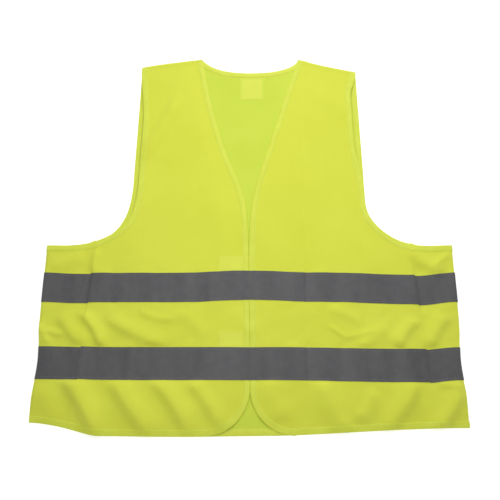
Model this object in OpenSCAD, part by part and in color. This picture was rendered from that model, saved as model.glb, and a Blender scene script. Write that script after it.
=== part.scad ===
// High visibility vest, lying flat and face up, opening at the centre front.
// Units are millimetres. +Z is up, +Y points to the neck, +X to the wearer's left.
// Outlines are drawn with y = 0 at the lowest hem, and placed() then centres them.

/* [Overall size] */
// Width across the two side folds
vest_w = 684; // [668:4:700]
// Length from the lowest hem to the neck points
vest_len = 668; // [660:4:684]

/* [Neck and shoulders] */
// Half width of the neck opening at the shoulder seams
neck_half = 87; // [82:1:92]
// Drop of the back neckline below the neck points
neck_drop = 28; // [22:1:34]
// Half width across the shoulder tips
shoulder_half = 195; // [190:1:200]
// Drop of the shoulder tips below the neck points
shoulder_drop = 20; // [14:1:26]
// Height where the V neck meets the straight front edge
v_foot = 330; // [320:2:345]

/* [Armholes] */
// Height of the armhole at the side fold
arm_y = 304; // [298:2:310]
// How far the front armhole is scooped inside the back one
arm_scoop = 10; // [4:1:14]

/* [Hem] */
// Rise of the hem from its straight middle to the side folds
hem_rise = 14; // [8:1:18]
// Half width of the straight middle of the hem
hem_flat = 190; // [170:5:210]
// Radius of the rounded lower front corners
corner_r = 70; // [60:2:76]

/* [Cloth and trim] */
// Thickness of the knitted fabric
fabric_t = 0.7; // [0.6:0.1:0.8]
// Space between the front and the back cloth
layer_gap = 5.5; // [5.3:0.1:6]
// Thickness of the reflective tape
tape_t = 0.4; // [0.3:0.1:0.5]
// Width of the reflective tape
tape_w = 50; // [48:1:52]
// Height of the lower edge of the lower tape
lower_tape_y = 84; // [80:1:90]
// Height of the lower edge of the upper tape
upper_tape_y = 212; // [206:1:218]
// Width of the edge binding
bind_w = 9; // [7:1:11]
// Thickness of one layer of the edge binding
bind_t = 0.3; // [0.2:0.1:0.3]

/* [Closure and label] */
// Width of a hook or loop patch
patch_w = 40; // [34:1:48]
// Height of a hook or loop patch
patch_h = 26; // [20:1:30]
// Thickness of a hook or loop patch
patch_t = 0.4; // [0.3:0.1:0.4]
// Width of the neck label
label_w = 40; // [34:1:46]
// Height of the neck label
label_h = 44; // [38:1:50]

/* [Seams and opening] */
// Distance of the side seams from the centre front
seam_x = 275; // [270:1:280]
// Distance from the centre to the opening fold, at the hem
fold_foot = 250; // [240:2:258]
// Height at which the opening fold meets the neck edge
fold_top = 640; // [634:1:644]
// Space between the two sides of the opening fold
fold_gap = 0.6; // [0.6:0.1:1]

/* [Hidden] */

lime = [0.82, 0.86, 0.28];
bright_lime = [0.80, 0.90, 0.26];
tape_grey = [0.38, 0.38, 0.39];
label_lime = [0.87, 0.91, 0.33];

half_w = vest_w / 2;
edge_x = 1;
butt_gap = 0.1;
lip = 1;
big = 900;

// Heights of the layers
z_back = tape_t;
z_front = z_back + fabric_t + layer_gap;
z_front_top = z_front + fabric_t;
total_h = z_front_top + tape_t;
z_mid = total_h / 2;
bind_total = fabric_t + 2 * bind_t;

// Radii of the side and shoulder folds, all about one centre line
fold_c = total_h / 2;
cloth_r = fold_c - tape_t;
bind_r = cloth_r + bind_t;

// The neck point and the shoulder tip of the wearer's left side
neck_pt = [neck_half, vest_len];
tip_pt = [shoulder_half, vest_len - shoulder_drop];
shoulder_vec = tip_pt - neck_pt;
shoulder_len = norm(shoulder_vec);
shoulder_turn = atan2(shoulder_vec[0], -shoulder_vec[1]);
shoulder_out = [cos(shoulder_turn), sin(shoulder_turn)];

// The opening fold, from the hem up to the neck edge
fold_vec = [neck_half - 5 - fold_foot, fold_top];
fold_turn = atan2(-fold_vec[0], fold_vec[1]);

function lerp(a, b, t) = a + (b - a) * t;

function bezier(a, b, c, d, n) = [
    for (i = [0:n])
        let (t = i / n, s = 1 - t)
        a * s * s * s + b * 3 * s * s * t + c * 3 * s * t * t + d * t * t * t
];

function arc(c, r, a0, a1, n) = [
    for (i = [0:n])
        let (a = lerp(a0, a1, i / n))
        c + r * [cos(a), sin(a)]
];

function reverse(p) = [for (i = [len(p) - 1:-1:0]) p[i]];

function mirrored(p) = [for (q = p) [-q[0], q[1]]];

// A path moved sideways, to its left, by d
function beside(p, d) = [
    for (i = [0:len(p) - 1])
        let (a = p[max(i - 1, 0)], b = p[min(i + 1, len(p) - 1)], v = (b - a) / norm(b - a))
        p[i] + d * [-v[1], v[0]]
];

function band(p, d0, d1) = concat(beside(p, d0), reverse(beside(p, d1)));

function hem_y(x) = hem_rise * pow(max(0, abs(x) - hem_flat) / (half_w - hem_flat), 2);

function hem_path(x0, x1, n) = [
    for (i = [0:n])
        let (x = lerp(x0, x1, i / n))
        [x, hem_y(x)]
];

// From the side fold along the armhole up to the shoulder tip
function arm_path(scoop) =
    let (turn_pt = [shoulder_half + 5, arm_y + 116])
    concat(
        bezier([half_w, arm_y], [half_w * 0.73, arm_y + 8],
               [shoulder_half + 5, arm_y + 14], turn_pt, 12),
        [for (i = [1:8])
            let (t = i / 8)
            lerp(turn_pt, tip_pt, t) - [scoop * sin(180 * t), 0]]
    );

// From the neck point along the V, the front edge and the rounded corner to the hem
edge_path = concat(
    [neck_pt, lerp(neck_pt, [22, 448], 0.5)],
    bezier([22, 448], [10, 408], [edge_x, v_foot + 55], [edge_x, v_foot], 8),
    [[edge_x, (v_foot + corner_r) / 2]],
    arc([edge_x + corner_r, corner_r], corner_r, 180, 270, 8)
);

front_hem_path = hem_path(hem_flat, half_w, 6);

back_neck_half = bezier([0, vest_len - neck_drop], [neck_half * 0.55, vest_len - neck_drop],
                        [neck_half - 14, vest_len - neck_drop * 0.7], neck_pt, 8);
back_neck_path = concat(reverse(back_neck_half), mirrored([for (i = [1:8]) back_neck_half[i]]));

back_hem_path = concat(mirrored(reverse(hem_path(hem_flat, half_w, 6))),
                       hem_path(hem_flat, half_w, 6));

// ---------- placing and cutting ----------

module placed() {
    translate([0, -vest_len / 2, 0]) children();
}

module both_sides() {
    children();
    mirror([1, 0, 0]) children();
}

module layer(z, t) {
    translate([0, 0, z]) linear_extrude(t) children();
}

// The plan within the two side folds and below the two shoulder folds
module within_folds() {
    difference() {
        translate([fold_c - half_w, -10]) square([vest_w - 2 * fold_c, vest_len + 20]);
        both_sides() {
            translate(neck_pt - fold_c * shoulder_out) rotate(shoulder_turn)
                translate([0, -300]) square([60, 600]);
        }
    }
}

module plan_band(x0, x1) {
    translate([x0, -10]) square([x1 - x0, vest_len + 20]);
}

// Everything on the armhole side of the opening fold
module outside_fold() {
    translate([fold_foot, 0]) rotate(fold_turn)
        translate([fold_gap / 2, -300]) square([big, 1400]);
}

// Everything on the centre side of the opening fold
module inside_fold() {
    translate([fold_foot, 0]) rotate(fold_turn)
        translate([-big - fold_gap / 2, -300]) square([big, 1400]);
}

// Half of a flat tube, open towards the cloth: the section of every turned edge
module turned_section(r, t) {
    polygon(concat(arc([0, 0], r, -90, 90, 10), arc([0, 0], r - t, 90, -90, 10)));
}

// The turn of cloth round the side fold, between two heights
module side_turn(r, t, y0, y1) {
    translate([half_w - fold_c, y1, z_mid]) rotate([90, 0, 0])
        linear_extrude(y1 - y0) turned_section(r, t);
}

// The turn of cloth over the shoulder, between two distances from the neck point
module shoulder_turned(r, t, s0, s1) {
    start = neck_pt - fold_c * shoulder_out + s0 * shoulder_vec / shoulder_len;
    translate([start[0], start[1], z_mid]) rotate([0, 0, shoulder_turn]) rotate([90, 0, 0])
        linear_extrude(s1 - s0) turned_section(r, t);
}

// ---------- outlines ----------

module back_outline() {
    arm = arm_path(0);
    intersection() {
        polygon(concat(back_hem_path, arm, back_neck_path, mirrored(reverse(arm))));
        within_folds();
    }
}

module front_outline() {
    intersection() {
        polygon(concat(edge_path, front_hem_path, arm_path(arm_scoop)));
        within_folds();
    }
}

// The narrow edge strips that the binding wraps round
module back_rims() {
    polygon(band(back_hem_path, -3, lip));
    polygon(band(back_neck_path, -3, lip));
    both_sides() polygon(band(arm_path(0), -3, lip));
}

module front_rims() {
    polygon(band(concat(edge_path, front_hem_path), -3, lip));
    polygon(band(arm_path(arm_scoop), -3, lip));
}

module back_cloth() {
    layer(z_back, fabric_t) difference() {
        back_outline();
        back_rims();
    }
}

module front_cloth() {
    layer(z_front, fabric_t) difference() {
        front_outline();
        front_rims();
    }
}

// One face-to-face fold of binding along a path, without the cloth inside it
module bound_edge(z, path) {
    layer(z - bind_t, bind_total) intersection() {
        polygon(band(path, 0, bind_w));
        within_folds();
    }
}

module side_cloth_turn() {
    side_turn(cloth_r, fabric_t, hem_rise + lip, arm_y - lip);
}

module shoulder_cloth_turn() {
    shoulder_turned(cloth_r, fabric_t, lip, shoulder_len - lip);
}

// ---------- cloth panels ----------

// The back, with the two strips that wrap round the side folds to the side seams
module back_panel() {
    color(lime) placed() {
        back_cloth();
        both_sides() {
            side_cloth_turn();
            intersection() {
                front_cloth();
                layer(0, total_h) plan_band(seam_x + butt_gap, half_w);
            }
        }
    }
}

// The part of one front between the opening fold and the side seam
module front_side() {
    color(lime) placed() intersection() {
        front_cloth();
        layer(0, total_h) intersection() {
            plan_band(0, seam_x - butt_gap);
            outside_fold();
        }
    }
}

// The part of one front that opens, from the centre edge to the opening fold
module front_flap() {
    color(lime) placed() intersection() {
        front_cloth();
        layer(0, total_h) inside_fold();
    }
}

// ---------- seams ----------

// The overlocked allowance under the side seam
module side_seam() {
    seam_w = 8;
    y0 = hem_y(seam_x) + bind_w + 1;
    y1 = arm_y + 9 - bind_w - 1;
    color(bright_lime) placed() translate([seam_x - seam_w / 2, y0, z_front - patch_t])
        cube([seam_w, y1 - y0, patch_t]);
}

// The overlocked shoulder seam, turned from the back to the front cloth
module shoulder_seam() {
    color(lime) placed() shoulder_cloth_turn();
}

// ---------- edge binding ----------

// Back neck, over both shoulders, down to the tops of the opening folds
module neck_binding() {
    color(bright_lime) placed() {
        difference() {
            bound_edge(z_back, back_neck_path);
            back_cloth();
        }
        both_sides() {
            difference() {
                shoulder_turned(bind_r, bind_total, 0, bind_w);
                shoulder_cloth_turn();
            }
            difference() {
                intersection() {
                    bound_edge(z_front, edge_path);
                    layer(0, total_h) outside_fold();
                    translate([0, fold_top - 20, 0]) cube([big, 80, total_h]);
                }
                front_cloth();
            }
        }
    }
}

// One closed ring: back armhole, side fold, front armhole and shoulder
module armhole_binding() {
    color(bright_lime) placed() {
        difference() {
            bound_edge(z_back, arm_path(0));
            back_cloth();
        }
        difference() {
            bound_edge(z_front, arm_path(arm_scoop));
            front_cloth();
        }
        difference() {
            side_turn(bind_r, bind_total, arm_y - bind_w, arm_y);
            side_cloth_turn();
        }
        difference() {
            shoulder_turned(bind_r, bind_total, shoulder_len - bind_w, shoulder_len);
            shoulder_cloth_turn();
        }
    }
}

// Back hem, round both side folds to the side seams
module back_hem_binding() {
    color(bright_lime) placed() {
        difference() {
            bound_edge(z_back, back_hem_path);
            back_cloth();
        }
        both_sides() {
            difference() {
                side_turn(bind_r, bind_total, hem_rise, hem_rise + bind_w);
                side_cloth_turn();
            }
            difference() {
                intersection() {
                    bound_edge(z_front, front_hem_path);
                    layer(0, total_h) plan_band(seam_x + butt_gap, half_w);
                }
                front_cloth();
            }
        }
    }
}

// Front hem between the side seam and the foot of the opening fold
module side_hem_binding() {
    color(bright_lime) placed() difference() {
        intersection() {
            bound_edge(z_front, front_hem_path);
            layer(0, total_h) intersection() {
                plan_band(0, seam_x - butt_gap);
                outside_fold();
            }
        }
        front_cloth();
    }
}

// V edge, centre front edge, rounded corner and front hem of the part that opens
module front_edge_binding() {
    color(bright_lime) placed() difference() {
        intersection() {
            bound_edge(z_front, concat(edge_path, front_hem_path));
            layer(0, total_h) inside_fold();
        }
        front_cloth();
        for (y = [lower_tape_y, upper_tape_y]) {
            translate([0, y, z_front_top]) cube([big, tape_w, total_h]);
        }
    }
}

// ---------- reflective tape ----------

// Across the back and round both side folds to the side seams
module back_tape(y) {
    color(tape_grey) placed() {
        translate([fold_c - half_w, y, 0]) cube([vest_w - 2 * fold_c, tape_w, tape_t]);
        both_sides() {
            side_turn(fold_c, tape_t, y, y + tape_w);
            translate([seam_x + butt_gap, y, z_front_top])
                cube([half_w - fold_c - seam_x - butt_gap, tape_w, tape_t]);
        }
    }
}

module front_tape_strip(y) {
    translate([0, y]) square([seam_x - butt_gap, tape_w]);
}

module side_tape(y) {
    color(tape_grey) placed() layer(z_front_top, tape_t) intersection() {
        front_tape_strip(y);
        outside_fold();
    }
}

module front_tape(y) {
    color(tape_grey) placed() layer(z_front_top, tape_t) intersection() {
        front_tape_strip(y);
        inside_fold();
        plan_band(edge_x, big);
    }
}

// ---------- closure and label ----------

// A patch above one tape, inside the front edge binding, at the given height
module closure_patch(y, z) {
    color(bright_lime) placed()
        translate([edge_x + bind_w + butt_gap, y + tape_w + butt_gap, z])
        cube([patch_w, patch_h, patch_t]);
}

module loop_patch(y) {
    mirror([1, 0, 0]) closure_patch(y, z_front_top);
}

module hook_patch(y) {
    closure_patch(y, z_front - patch_t);
}

module neck_label() {
    label_top = vest_len - neck_drop - bind_w - butt_gap;
    color(label_lime) placed()
        translate([-label_w / 2, label_top - label_h, z_back + fabric_t])
        cube([label_w, label_h, tape_t]);
}

// ---------- the assembly ----------

back_panel();
front_side();  // left_front_side
mirror([1, 0, 0]) front_side();  // right_front_side
front_flap();  // left_front_flap
mirror([1, 0, 0]) front_flap();  // right_front_flap
side_seam();  // left_side_seam
mirror([1, 0, 0]) side_seam();  // right_side_seam
shoulder_seam();  // left_shoulder_seam
mirror([1, 0, 0]) shoulder_seam();  // right_shoulder_seam
neck_binding();
armhole_binding();  // left_armhole_binding
mirror([1, 0, 0]) armhole_binding();  // right_armhole_binding
back_hem_binding();
side_hem_binding();  // left_side_hem_binding
mirror([1, 0, 0]) side_hem_binding();  // right_side_hem_binding
front_edge_binding();  // left_front_edge_binding
mirror([1, 0, 0]) front_edge_binding();  // right_front_edge_binding
back_tape(upper_tape_y);  // upper_back_tape
back_tape(lower_tape_y);  // lower_back_tape
side_tape(upper_tape_y);  // upper_left_side_tape
mirror([1, 0, 0]) side_tape(upper_tape_y);  // upper_right_side_tape
side_tape(lower_tape_y);  // lower_left_side_tape
mirror([1, 0, 0]) side_tape(lower_tape_y);  // lower_right_side_tape
front_tape(upper_tape_y);  // upper_left_front_tape
mirror([1, 0, 0]) front_tape(upper_tape_y);  // upper_right_front_tape
front_tape(lower_tape_y);  // lower_left_front_tape
mirror([1, 0, 0]) front_tape(lower_tape_y);  // lower_right_front_tape
loop_patch(upper_tape_y);  // upper_loop_patch
loop_patch(lower_tape_y);  // lower_loop_patch
hook_patch(upper_tape_y);  // upper_hook_patch
hook_patch(lower_tape_y);  // lower_hook_patch
neck_label();
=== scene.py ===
"""High visibility vest, lying flat: cloth, bindings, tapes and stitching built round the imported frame."""

import math

import bmesh
import bpy
import numpy as np
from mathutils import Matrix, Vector, geometry


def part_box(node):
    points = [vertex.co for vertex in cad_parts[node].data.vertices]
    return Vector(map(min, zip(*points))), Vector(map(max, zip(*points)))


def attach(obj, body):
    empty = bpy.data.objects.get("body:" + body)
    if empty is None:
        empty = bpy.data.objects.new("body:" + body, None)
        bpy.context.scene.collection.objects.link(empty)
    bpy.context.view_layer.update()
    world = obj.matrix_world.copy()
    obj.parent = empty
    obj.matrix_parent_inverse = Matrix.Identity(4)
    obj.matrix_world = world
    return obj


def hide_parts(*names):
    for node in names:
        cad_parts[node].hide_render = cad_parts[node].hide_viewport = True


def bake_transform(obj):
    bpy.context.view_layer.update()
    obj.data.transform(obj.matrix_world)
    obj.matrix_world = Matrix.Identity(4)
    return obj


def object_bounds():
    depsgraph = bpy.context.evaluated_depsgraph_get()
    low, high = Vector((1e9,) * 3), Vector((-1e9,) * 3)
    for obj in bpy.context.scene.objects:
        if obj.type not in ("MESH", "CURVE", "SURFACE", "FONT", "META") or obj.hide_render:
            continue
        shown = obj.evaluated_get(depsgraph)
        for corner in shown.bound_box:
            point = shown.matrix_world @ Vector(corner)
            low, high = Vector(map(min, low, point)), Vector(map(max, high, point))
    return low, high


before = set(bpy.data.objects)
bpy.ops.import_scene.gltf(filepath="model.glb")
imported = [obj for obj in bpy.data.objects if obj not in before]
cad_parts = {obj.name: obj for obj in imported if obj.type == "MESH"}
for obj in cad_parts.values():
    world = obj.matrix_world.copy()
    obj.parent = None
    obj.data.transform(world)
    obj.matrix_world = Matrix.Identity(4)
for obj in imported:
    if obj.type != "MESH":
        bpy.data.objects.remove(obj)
cad_low, cad_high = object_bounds()

# -------- dimensions
# Lengths here are in millimetres, with y counted up from the lowest hem.
# to_frame() turns them into metres in the frame.

MM = 0.001


def node_box(node):
    """Lowest and highest corner of a CAD node in millimetres, y counted from the hem."""
    low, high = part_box(node)
    shift = Vector((0, cad_low.y, 0))
    return (low - shift) / MM, (high - shift) / MM


HALF_W = cad_high.x / MM
LENGTH = (cad_high.y - cad_low.y) / MM
HEM_SHIFT = cad_low.y / MM
NECK_HALF = 87.0
NECK_DROP = 28.0
SHOULDER_HALF = node_box("left_shoulder_seam")[1].x + 1
SHOULDER_DROP = 20.0
ARM_Y = node_box("left_side_seam")[1].y + 1
HEM_RISE = {1: 11.3, -1: 17.3}
HEM_FLAT = {1: 40.0, -1: 235.0}
CORNER_R = 70.0
V_BOW = {1: 0.0, -1: 11.0}
V_FOOT = 285.0
EDGE_X = 0.8
BIND_W = 9.5
SEAM_TOP = {1: 269.0, -1: 257.0}
SEAM_LEAN = {1: 0.085, -1: 0.07}
# How far a front armhole is cut in, where the cut starts, and the lengths it fades over; 0 is the back
SCOOP = {1: (13.2, 400, 110, 52), -1: (10.0, ARM_Y + 6, 42, 110), 0: (0.0, ARM_Y, 1, 1)}
TAPES = {name: node_box(f"{name}_left_front_tape") for name in ("upper", "lower")}
LABEL = node_box("neck_label")
LABEL_SHIFT = 3.5  # it is sewn in slightly off centre
PATCHES = {name: node_box(f"{name}_loop_patch") for name in ("upper", "lower")}
HOOKS = {name: node_box(f"{name}_hook_patch") for name in ("upper", "lower")}

CLOTH_T = 0.45
TAPE_T = 0.28
BACK_Z = 0.95
EDGE_Z = 2.6
FRONT_Z = 6.0
TURN_R = 2.5
TURN_X = HALF_W - TURN_R - 0.7
TURN_LEN = math.pi * TURN_R
SHOULDER_TURN = 5.5
MEET_Z = (FRONT_Z + BACK_Z) / 2 - 0.3
LEFT, RIGHT = 1, -1  # the wearer's left is at +x
SIDE_NAME = {LEFT: "left", RIGHT: "right"}

NECK_PT = np.array([NECK_HALF, LENGTH - 0.4])
TIP_PT = np.array([SHOULDER_HALF, LENGTH - 0.4 - SHOULDER_DROP])
SHOULDER_LEN = float(np.linalg.norm(TIP_PT - NECK_PT))
SHOULDER_DIR = (TIP_PT - NECK_PT) / SHOULDER_LEN
SHOULDER_OUT = np.array([-SHOULDER_DIR[1], SHOULDER_DIR[0]])

# -------- curves in plan


def lerp(a, b, t):
    return a + (b - a) * t


def smooth(t):
    """Eases from 0 at t = 0 to 1 at t = 1."""
    t = np.clip(t, 0, 1)
    return t * t * (3 - 2 * t)


def bell(t):
    """1 at t = 0, fading away on both sides."""
    return np.exp(-(t**2))


def bezier(a, b, c, d, count):
    t = np.linspace(0, 1, count + 1)[:, None]
    s = 1 - t
    a, b, c, d = (np.array(p, float) for p in (a, b, c, d))
    return a * s**3 + 3 * b * s * s * t + 3 * c * s * t * t + d * t**3


def arc(centre, radius, start, end, count):
    angles = np.radians(np.linspace(start, end, count + 1))
    return np.array(centre) + radius * np.stack([np.cos(angles), np.sin(angles)], 1)


def distance_along(path):
    """How far along a path each of its points is."""
    return np.concatenate([[0], np.cumsum(np.linalg.norm(np.diff(path, axis=0), axis=1))])


def resample(path, step):
    """The same path with points about step apart."""
    path = np.array(path, float)
    reach = distance_along(path)
    count = max(2, int(round(reach[-1] / step)) + 1)
    at = np.linspace(0, reach[-1], count)
    return np.stack([np.interp(at, reach, path[:, k]) for k in range(path.shape[1])], 1)


def left_of(path):
    """Unit vectors to the left of the way along a plan path."""
    way = np.gradient(path, axis=0)
    way /= np.linalg.norm(way, axis=1)[:, None]
    return np.stack([-way[:, 1], way[:, 0]], 1)


def flip(points, side):
    """Points drawn for the left side, moved to the given side."""
    points = np.array(points, float)
    points[:, 0] *= side
    return points


def hem_y(x):
    """Height of the hem edge at x; the corners at the side folds rise."""
    x = np.asarray(x, float)
    out = np.zeros_like(x)
    for side in (LEFT, RIGHT):
        share = np.clip((side * x - HEM_FLAT[side]) / (HALF_W - HEM_FLAT[side]), 0, 1)
        out = out + HEM_RISE[side] * smooth(share) ** 0.78
    return out


def arm_path(side=0):
    """From the side fold along the armhole to the shoulder tip; a front is cut further in."""
    turn = np.array([SHOULDER_HALF + 5, ARM_Y + 116.0])
    low = bezier((HALF_W, ARM_Y + 3.5), (HALF_W * 0.766, ARM_Y + 3), (turn[0] + 3, ARM_Y + 5), turn, 40)
    t = np.linspace(0, 1, 40)[1:, None]
    path = resample(np.concatenate([low, lerp(turn, TIP_PT, t)]), 4)
    scoop, start, below, above = SCOOP[side]
    y = path[:, 1]
    share = smooth((LENGTH - SHOULDER_DROP - 2 - y) / above) * smooth((y - start) / below)
    return path - scoop * share[:, None] * np.array([1.0, 0])


def edge_path(side=1):
    """From the neck point down the V and the front edge, round the corner to the hem."""
    bend = (22, 448)
    v_edge = resample([NECK_PT, bend], 6)
    curve = bezier(bend, (6.5, 404), (EDGE_X * 2, V_FOOT + 75), (EDGE_X, V_FOOT), 30)
    upper = np.concatenate([v_edge, curve[1:]])
    share = np.clip((LENGTH - upper[:, 1]) / (LENGTH - V_FOOT - 100), 0, 1)
    upper[:, 0] += V_BOW[side] * np.sin(math.pi * share) ** 1.2
    corner = arc((EDGE_X + CORNER_R, CORNER_R), CORNER_R, 180, 270, 24)
    return resample(np.concatenate([upper, corner]), 4)


def hem_path(x0, x1):
    x = np.linspace(x0, x1, max(3, int(abs(x1 - x0) / 4)))
    return np.stack([x, hem_y(x)], 1)


def neck_path():
    """The back neckline from the wearer's left neck point to the right one."""
    low = LENGTH - NECK_DROP + 1.6
    halves = [bezier((0, low), (NECK_HALF * 0.55, low), (NECK_HALF - tight, low + 8), NECK_PT, 20)
              for tight in (5, 16)]
    return resample(np.concatenate([halves[0][::-1], flip(halves[1][1:], RIGHT)]), 4)


def seam_x(y, side):
    """Distance of the side seam from the centre front; it leans out towards the hem."""
    return SEAM_TOP[side] + SEAM_LEAN[side] * (ARM_Y - y)


def front_arm(side, within):
    """The armhole edge of a front from the side seam to the tip, or of the strip beside the fold."""
    path = arm_path(side)
    past = path[:, 0] - seam_x(path[:, 1], side)
    k = int(np.argmax(past < 0))
    t = past[k - 1] / (past[k - 1] - past[k])
    cut = lerp(path[k - 1], path[k], t)[None, :]
    if within:
        return np.concatenate([cut, path[k:]])
    strip = np.concatenate([path[:k], cut])
    return strip[strip[:, 0] < TURN_X]


# -------- height of the cloth


def ripple(x, y, length, amount, seed, count=9):
    """Gentle irregular waves of about the given wavelength."""
    rng = np.random.default_rng(seed)
    total = np.zeros_like(x)
    for _ in range(count):
        angle, phase = rng.uniform(0, 2 * math.pi, 2)
        k = 2 * math.pi / (length * rng.uniform(0.7, 1.6))
        total = total + np.sin(k * (x * math.cos(angle) + y * math.sin(angle)) + phase)
    return amount * total / math.sqrt(count)


def fold(x, y, start, end, height, width, bow=0.0, lean=0.0):
    """A soft ridge of cloth from start to end that fades at both ends."""
    a, b = np.array(start, float), np.array(end, float)
    way = b - a
    length = np.linalg.norm(way)
    way /= length
    t = ((x - a[0]) * way[0] + (y - a[1]) * way[1]) / length
    off = (x - a[0]) * -way[1] + (y - a[1]) * way[0]
    off = off - bow * (1 - (2 * t - 1) ** 2)
    fade = smooth((t + 0.15) / 0.35) * smooth((1.15 - t) / 0.35)
    side = np.where(off > 0, width * (1 + lean), width * (1 - lean))
    return height * fade * bell(off / side)


def crease(x, y, top, foot, depth, width):
    """A pressed line in the cloth from top to foot."""
    a, b = np.array(top, float), np.array(foot, float)
    way = (b - a) / np.linalg.norm(b - a)
    t = ((x - a[0]) * way[0] + (y - a[1]) * way[1]) / np.linalg.norm(b - a)
    off = np.abs((x - a[0]) * -way[1] + (y - a[1]) * way[0])
    return -depth * smooth((t + 0.1) / 0.15) * smooth((1.1 - t) / 0.15) * np.exp(-off / width)


def between(y, low, high, soft):
    """1 between two heights on the vest, fading to 0 over soft millimetres inside them."""
    return smooth((y - low) / soft) * smooth((high - y) / soft)


# Ridges in the three bands of cloth: start, end, height, width, bow, lean
LOW_FOLDS = [
    ((-290, 86), (-236, 4), 5.6, 15, 3, 0.25),
    ((-212, 84), (-150, 4), 5.0, 17, -4, 0.2),
    ((-148, 84), (-92, 6), 4.2, 14, 4, 0.2),
    ((-92, 82), (-44, 14), 3.4, 13, 3, 0.2),
    ((24, 86), (44, 20), 2.0, 20, 0, 0.0),
    ((116, 84), (152, 6), 4.2, 15, -4, -0.2),
    ((196, 70), (172, 22), 2.6, 12, 2, 0.2),
    ((262, 82), (214, 8), 4.6, 14, 4, -0.2),
    ((334, 66), (290, 8), 4.0, 13, 2, -0.2),
    ((300, 84), (336, 70), 2.2, 7, 0, 0.0),
    ((-332, 70), (-296, 20), 1.6, 16, 0, 0.0),
]
MID_FOLDS = [
    ((-272, 192), (-238, 134), 3.6, 9, 5, 0.2),
    ((-228, 184), (-136, 140), 3.0, 13, -5, 0.2),
    ((-306, 190), (-270, 140), 3.2, 12, -4, 0.2),
    ((-332, 162), (-300, 153), 1.6, 5, 0, 0.0),
    ((-344, 176), (-326, 138), 2.0, 6, 0, 0.0),
    ((-120, 196), (-70, 150), 1.5, 13, 6, 0.0),
    ((-176, 196), (-120, 182), 1.2, 7, -4, 0.0),
    ((272, 182), (240, 136), 3.6, 11, -3, -0.2),
    ((320, 188), (292, 136), 3.4, 13, -3, -0.2),
    ((222, 168), (176, 138), 2.2, 12, 3, -0.2),
    ((128, 170), (158, 150), 1.1, 4, 0, 0.0),
    ((156, 150), (204, 162), 1.1, 4, 0, 0.0),
    ((130, 200), (182, 176), 1.3, 9, 4, 0.0),
    ((-30, 192), (10, 150), 0.9, 14, 0, 0.0),
]
CHEST_FOLDS = [
    ((-128, 580), (-182, 470), 3.0, 12, 0, 0.2),
    ((-108, 496), (-64, 526), 0.4, 4, 0, 0.0),
    ((266, 304), (322, 262), 3.0, 10, -3, 0.2),
    ((334, 292), (306, 276), 1.6, 6, 0, 0.0),
    ((-256, 300), (-262, 264), 1.6, 6, 0, 0.0),
    ((-330, 270), (-280, 292), 1.6, 12, 0, 0.0),
    ((120, 600), (180, 560), 1.0, 16, 0, 0.0),
    ((-60, 400), (-40, 300), 0.7, 16, 0, 0.0),
    ((110, 430), (86, 330), 0.8, 18, 0, 0.0),
]
TAPE_CREASES = [
    ((-290, 262), (-306, 214), 0.7, 3), ((-276, 262), (-284, 236), 0.5, 2.5),
    ((-306, 128), (-326, 86), 0.6, 3), ((296, 262), (306, 214), 0.5, 3),
    ((128, 118), (150, 90), 0.5, 3), ((84, 262), (88, 214), 0.4, 2.5),
    ((-60, 262), (-56, 214), -0.35, 4), ((-8, 262), (-9, 214), -0.3, 2), ((9, 262), (8, 214), -0.3, 2),
]
PACKING_LINES = {-181.0: 0.25, -90.0: 0.3, 93.0: 0.8, 191.0: 0.35}
CREASE_W = 2.6
FOLD_GAIN = 1.8


def distance_to(x, y, path):
    """Shortest plan distance from each point to a path."""
    best = np.full(x.shape, 1e9)
    for a, b in zip(path[:-1], path[1:]):
        way = b - a
        t = ((x - a[0]) * way[0] + (y - a[1]) * way[1]) / (way @ way)
        t = np.clip(t, 0, 1)
        gap = np.hypot(x - a[0] - t * way[0], y - a[1] - t * way[1])
        best = np.minimum(best, gap)
    return best


EDGE_LINE = resample(edge_path(), 14)


def front_height(x, y):
    """Middle of the front cloth above the floor."""
    x, y = np.asarray(x, float), np.asarray(y, float)
    to_edge = distance_to(np.abs(x), y, EDGE_LINE)
    to_edge = np.minimum(to_edge, np.maximum(y - hem_y(x), 0))
    z = lerp(EDGE_Z, FRONT_Z, smooth(to_edge / 46))
    z = z + ripple(x, y, 150, 0.55, 3) + ripple(x, y, 62, 0.22, 4)
    low = between(y, -14, TAPES["lower"][0].y + 4, 13)
    mid = between(y, TAPES["lower"][1].y - 3, TAPES["upper"][0].y + 3, 11)
    for folds, share in ((LOW_FOLDS, low), (MID_FOLDS, mid), (CHEST_FOLDS, 1.0)):
        for start, end, height, width, bow, lean in folds:
            z = z + share * fold(x, y, start, end, FOLD_GAIN * height, width, bow, lean)
    z = z + low * ripple(x, y, 34, 0.35, 8) + mid * ripple(x, y, 30, 0.28, 9)
    for tape_low, tape_high in TAPES.values():
        near = between(y, tape_low.y - 14, tape_high.y + 14, 14)
        z = z + near * ripple(x, y * 0.2, 46, 0.75, 11 + int(tape_low.y))
        for line in (tape_low.y + 3, tape_high.y - 3):
            z = z + 0.22 * bell((y - line) / 9) * ripple(x, y * 0.3, 15, 1.0, 17)
    for top, foot, depth, width in TAPE_CREASES:
        z = z + crease(x, y, top, foot, depth, width)
    for line, depth in PACKING_LINES.items():
        z = z + crease(x, y, (line, 480), (line, -10), depth, CREASE_W)
    for side in (LEFT, RIGHT):
        past = side * x - seam_x(y, side)
        step = smooth((past + 1.5) / 7) * (1 - 0.85 * smooth((past - 6) / 34))
        z = z - step * np.where(side * x > 0, 1.0, 0.0) * (0.8 + 2.0 * between(y, 190, 285, 20))
    # the slope towards the side folds, and the raised edge of the armholes
    z = z - 0.9 * smooth((np.abs(x) - 250) / 90)
    arm = smooth((y - ARM_Y - 20) / 60) * smooth((LENGTH - 40 - y) / 60)
    rim = smooth((np.abs(x) - 150) / 34) * arm
    return z + rim * np.where(x < 0, 1.3, 0.8)


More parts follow.
